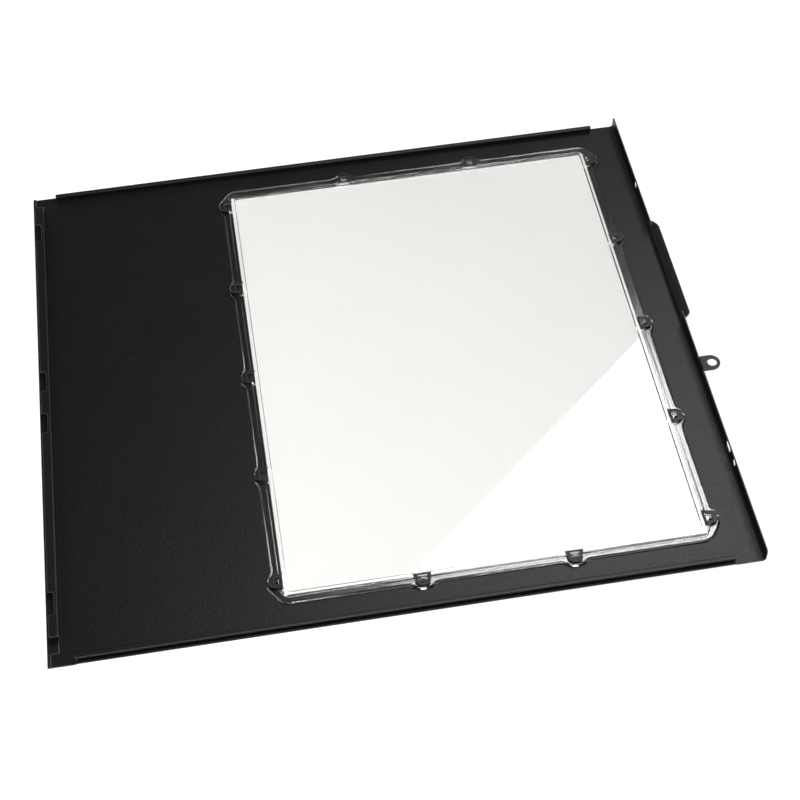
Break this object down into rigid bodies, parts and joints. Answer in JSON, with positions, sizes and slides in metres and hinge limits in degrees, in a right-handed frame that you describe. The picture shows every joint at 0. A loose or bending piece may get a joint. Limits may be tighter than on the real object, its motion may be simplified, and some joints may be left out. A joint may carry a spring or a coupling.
{
  "type": "computer case side panel",
  "caption": "Folded steel side panel of a desktop computer case, with a clear window held by folded loops, a hook rail, slide rails, a finger grip and a padlock tab.",
  "frame": {"origin": "middle of the overall box, on the plane of the outer face that the panel lies on", "axes": "+X from the front hook rail to the rear screw wall, +Y from the bottom edge to the top edge, +Z from the outer face into the case"},
  "size_m": [0.504, 0.444, 0.0115],
  "materials": {
    "black_powder_coat": "fine-textured black powder coat, satin",
    "clear_acrylic": "clear, moulded, gloss"
  },
  "bodies": {
    "root": {"steel_panel": "black_powder_coat", "window_pane": "clear_acrylic"}
  },
  "joints": []
}
